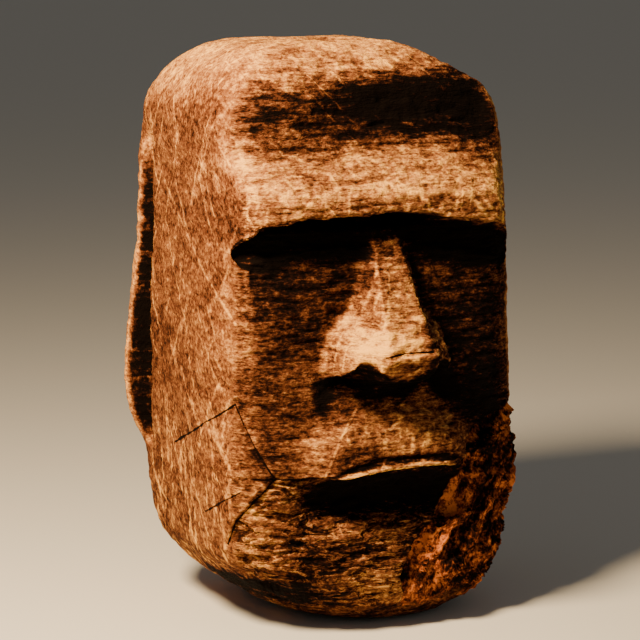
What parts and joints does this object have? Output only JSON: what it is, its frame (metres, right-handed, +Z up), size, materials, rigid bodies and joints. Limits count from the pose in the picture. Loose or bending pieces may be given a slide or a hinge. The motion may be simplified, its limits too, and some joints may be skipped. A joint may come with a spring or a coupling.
{
  "type": "moai stone head",
  "caption": "Long-faced moai head carved from one block of volcanic tuff, with a heavy brow, long nose, thin lips and long ears, on a flat underside.",
  "frame": {"origin": "middle of the bounding box, at the level of the flat underside", "axes": "+Z up through the crown, the face looks along -Y, and +X is the head's own left"},
  "size_m": [0.9304, 0.8902, 1.464],
  "materials": {
    "tuff": "weathered, tooled and pitted"
  },
  "bodies": {
    "root": {"moai_head": "tuff"}
  },
  "joints": []
}
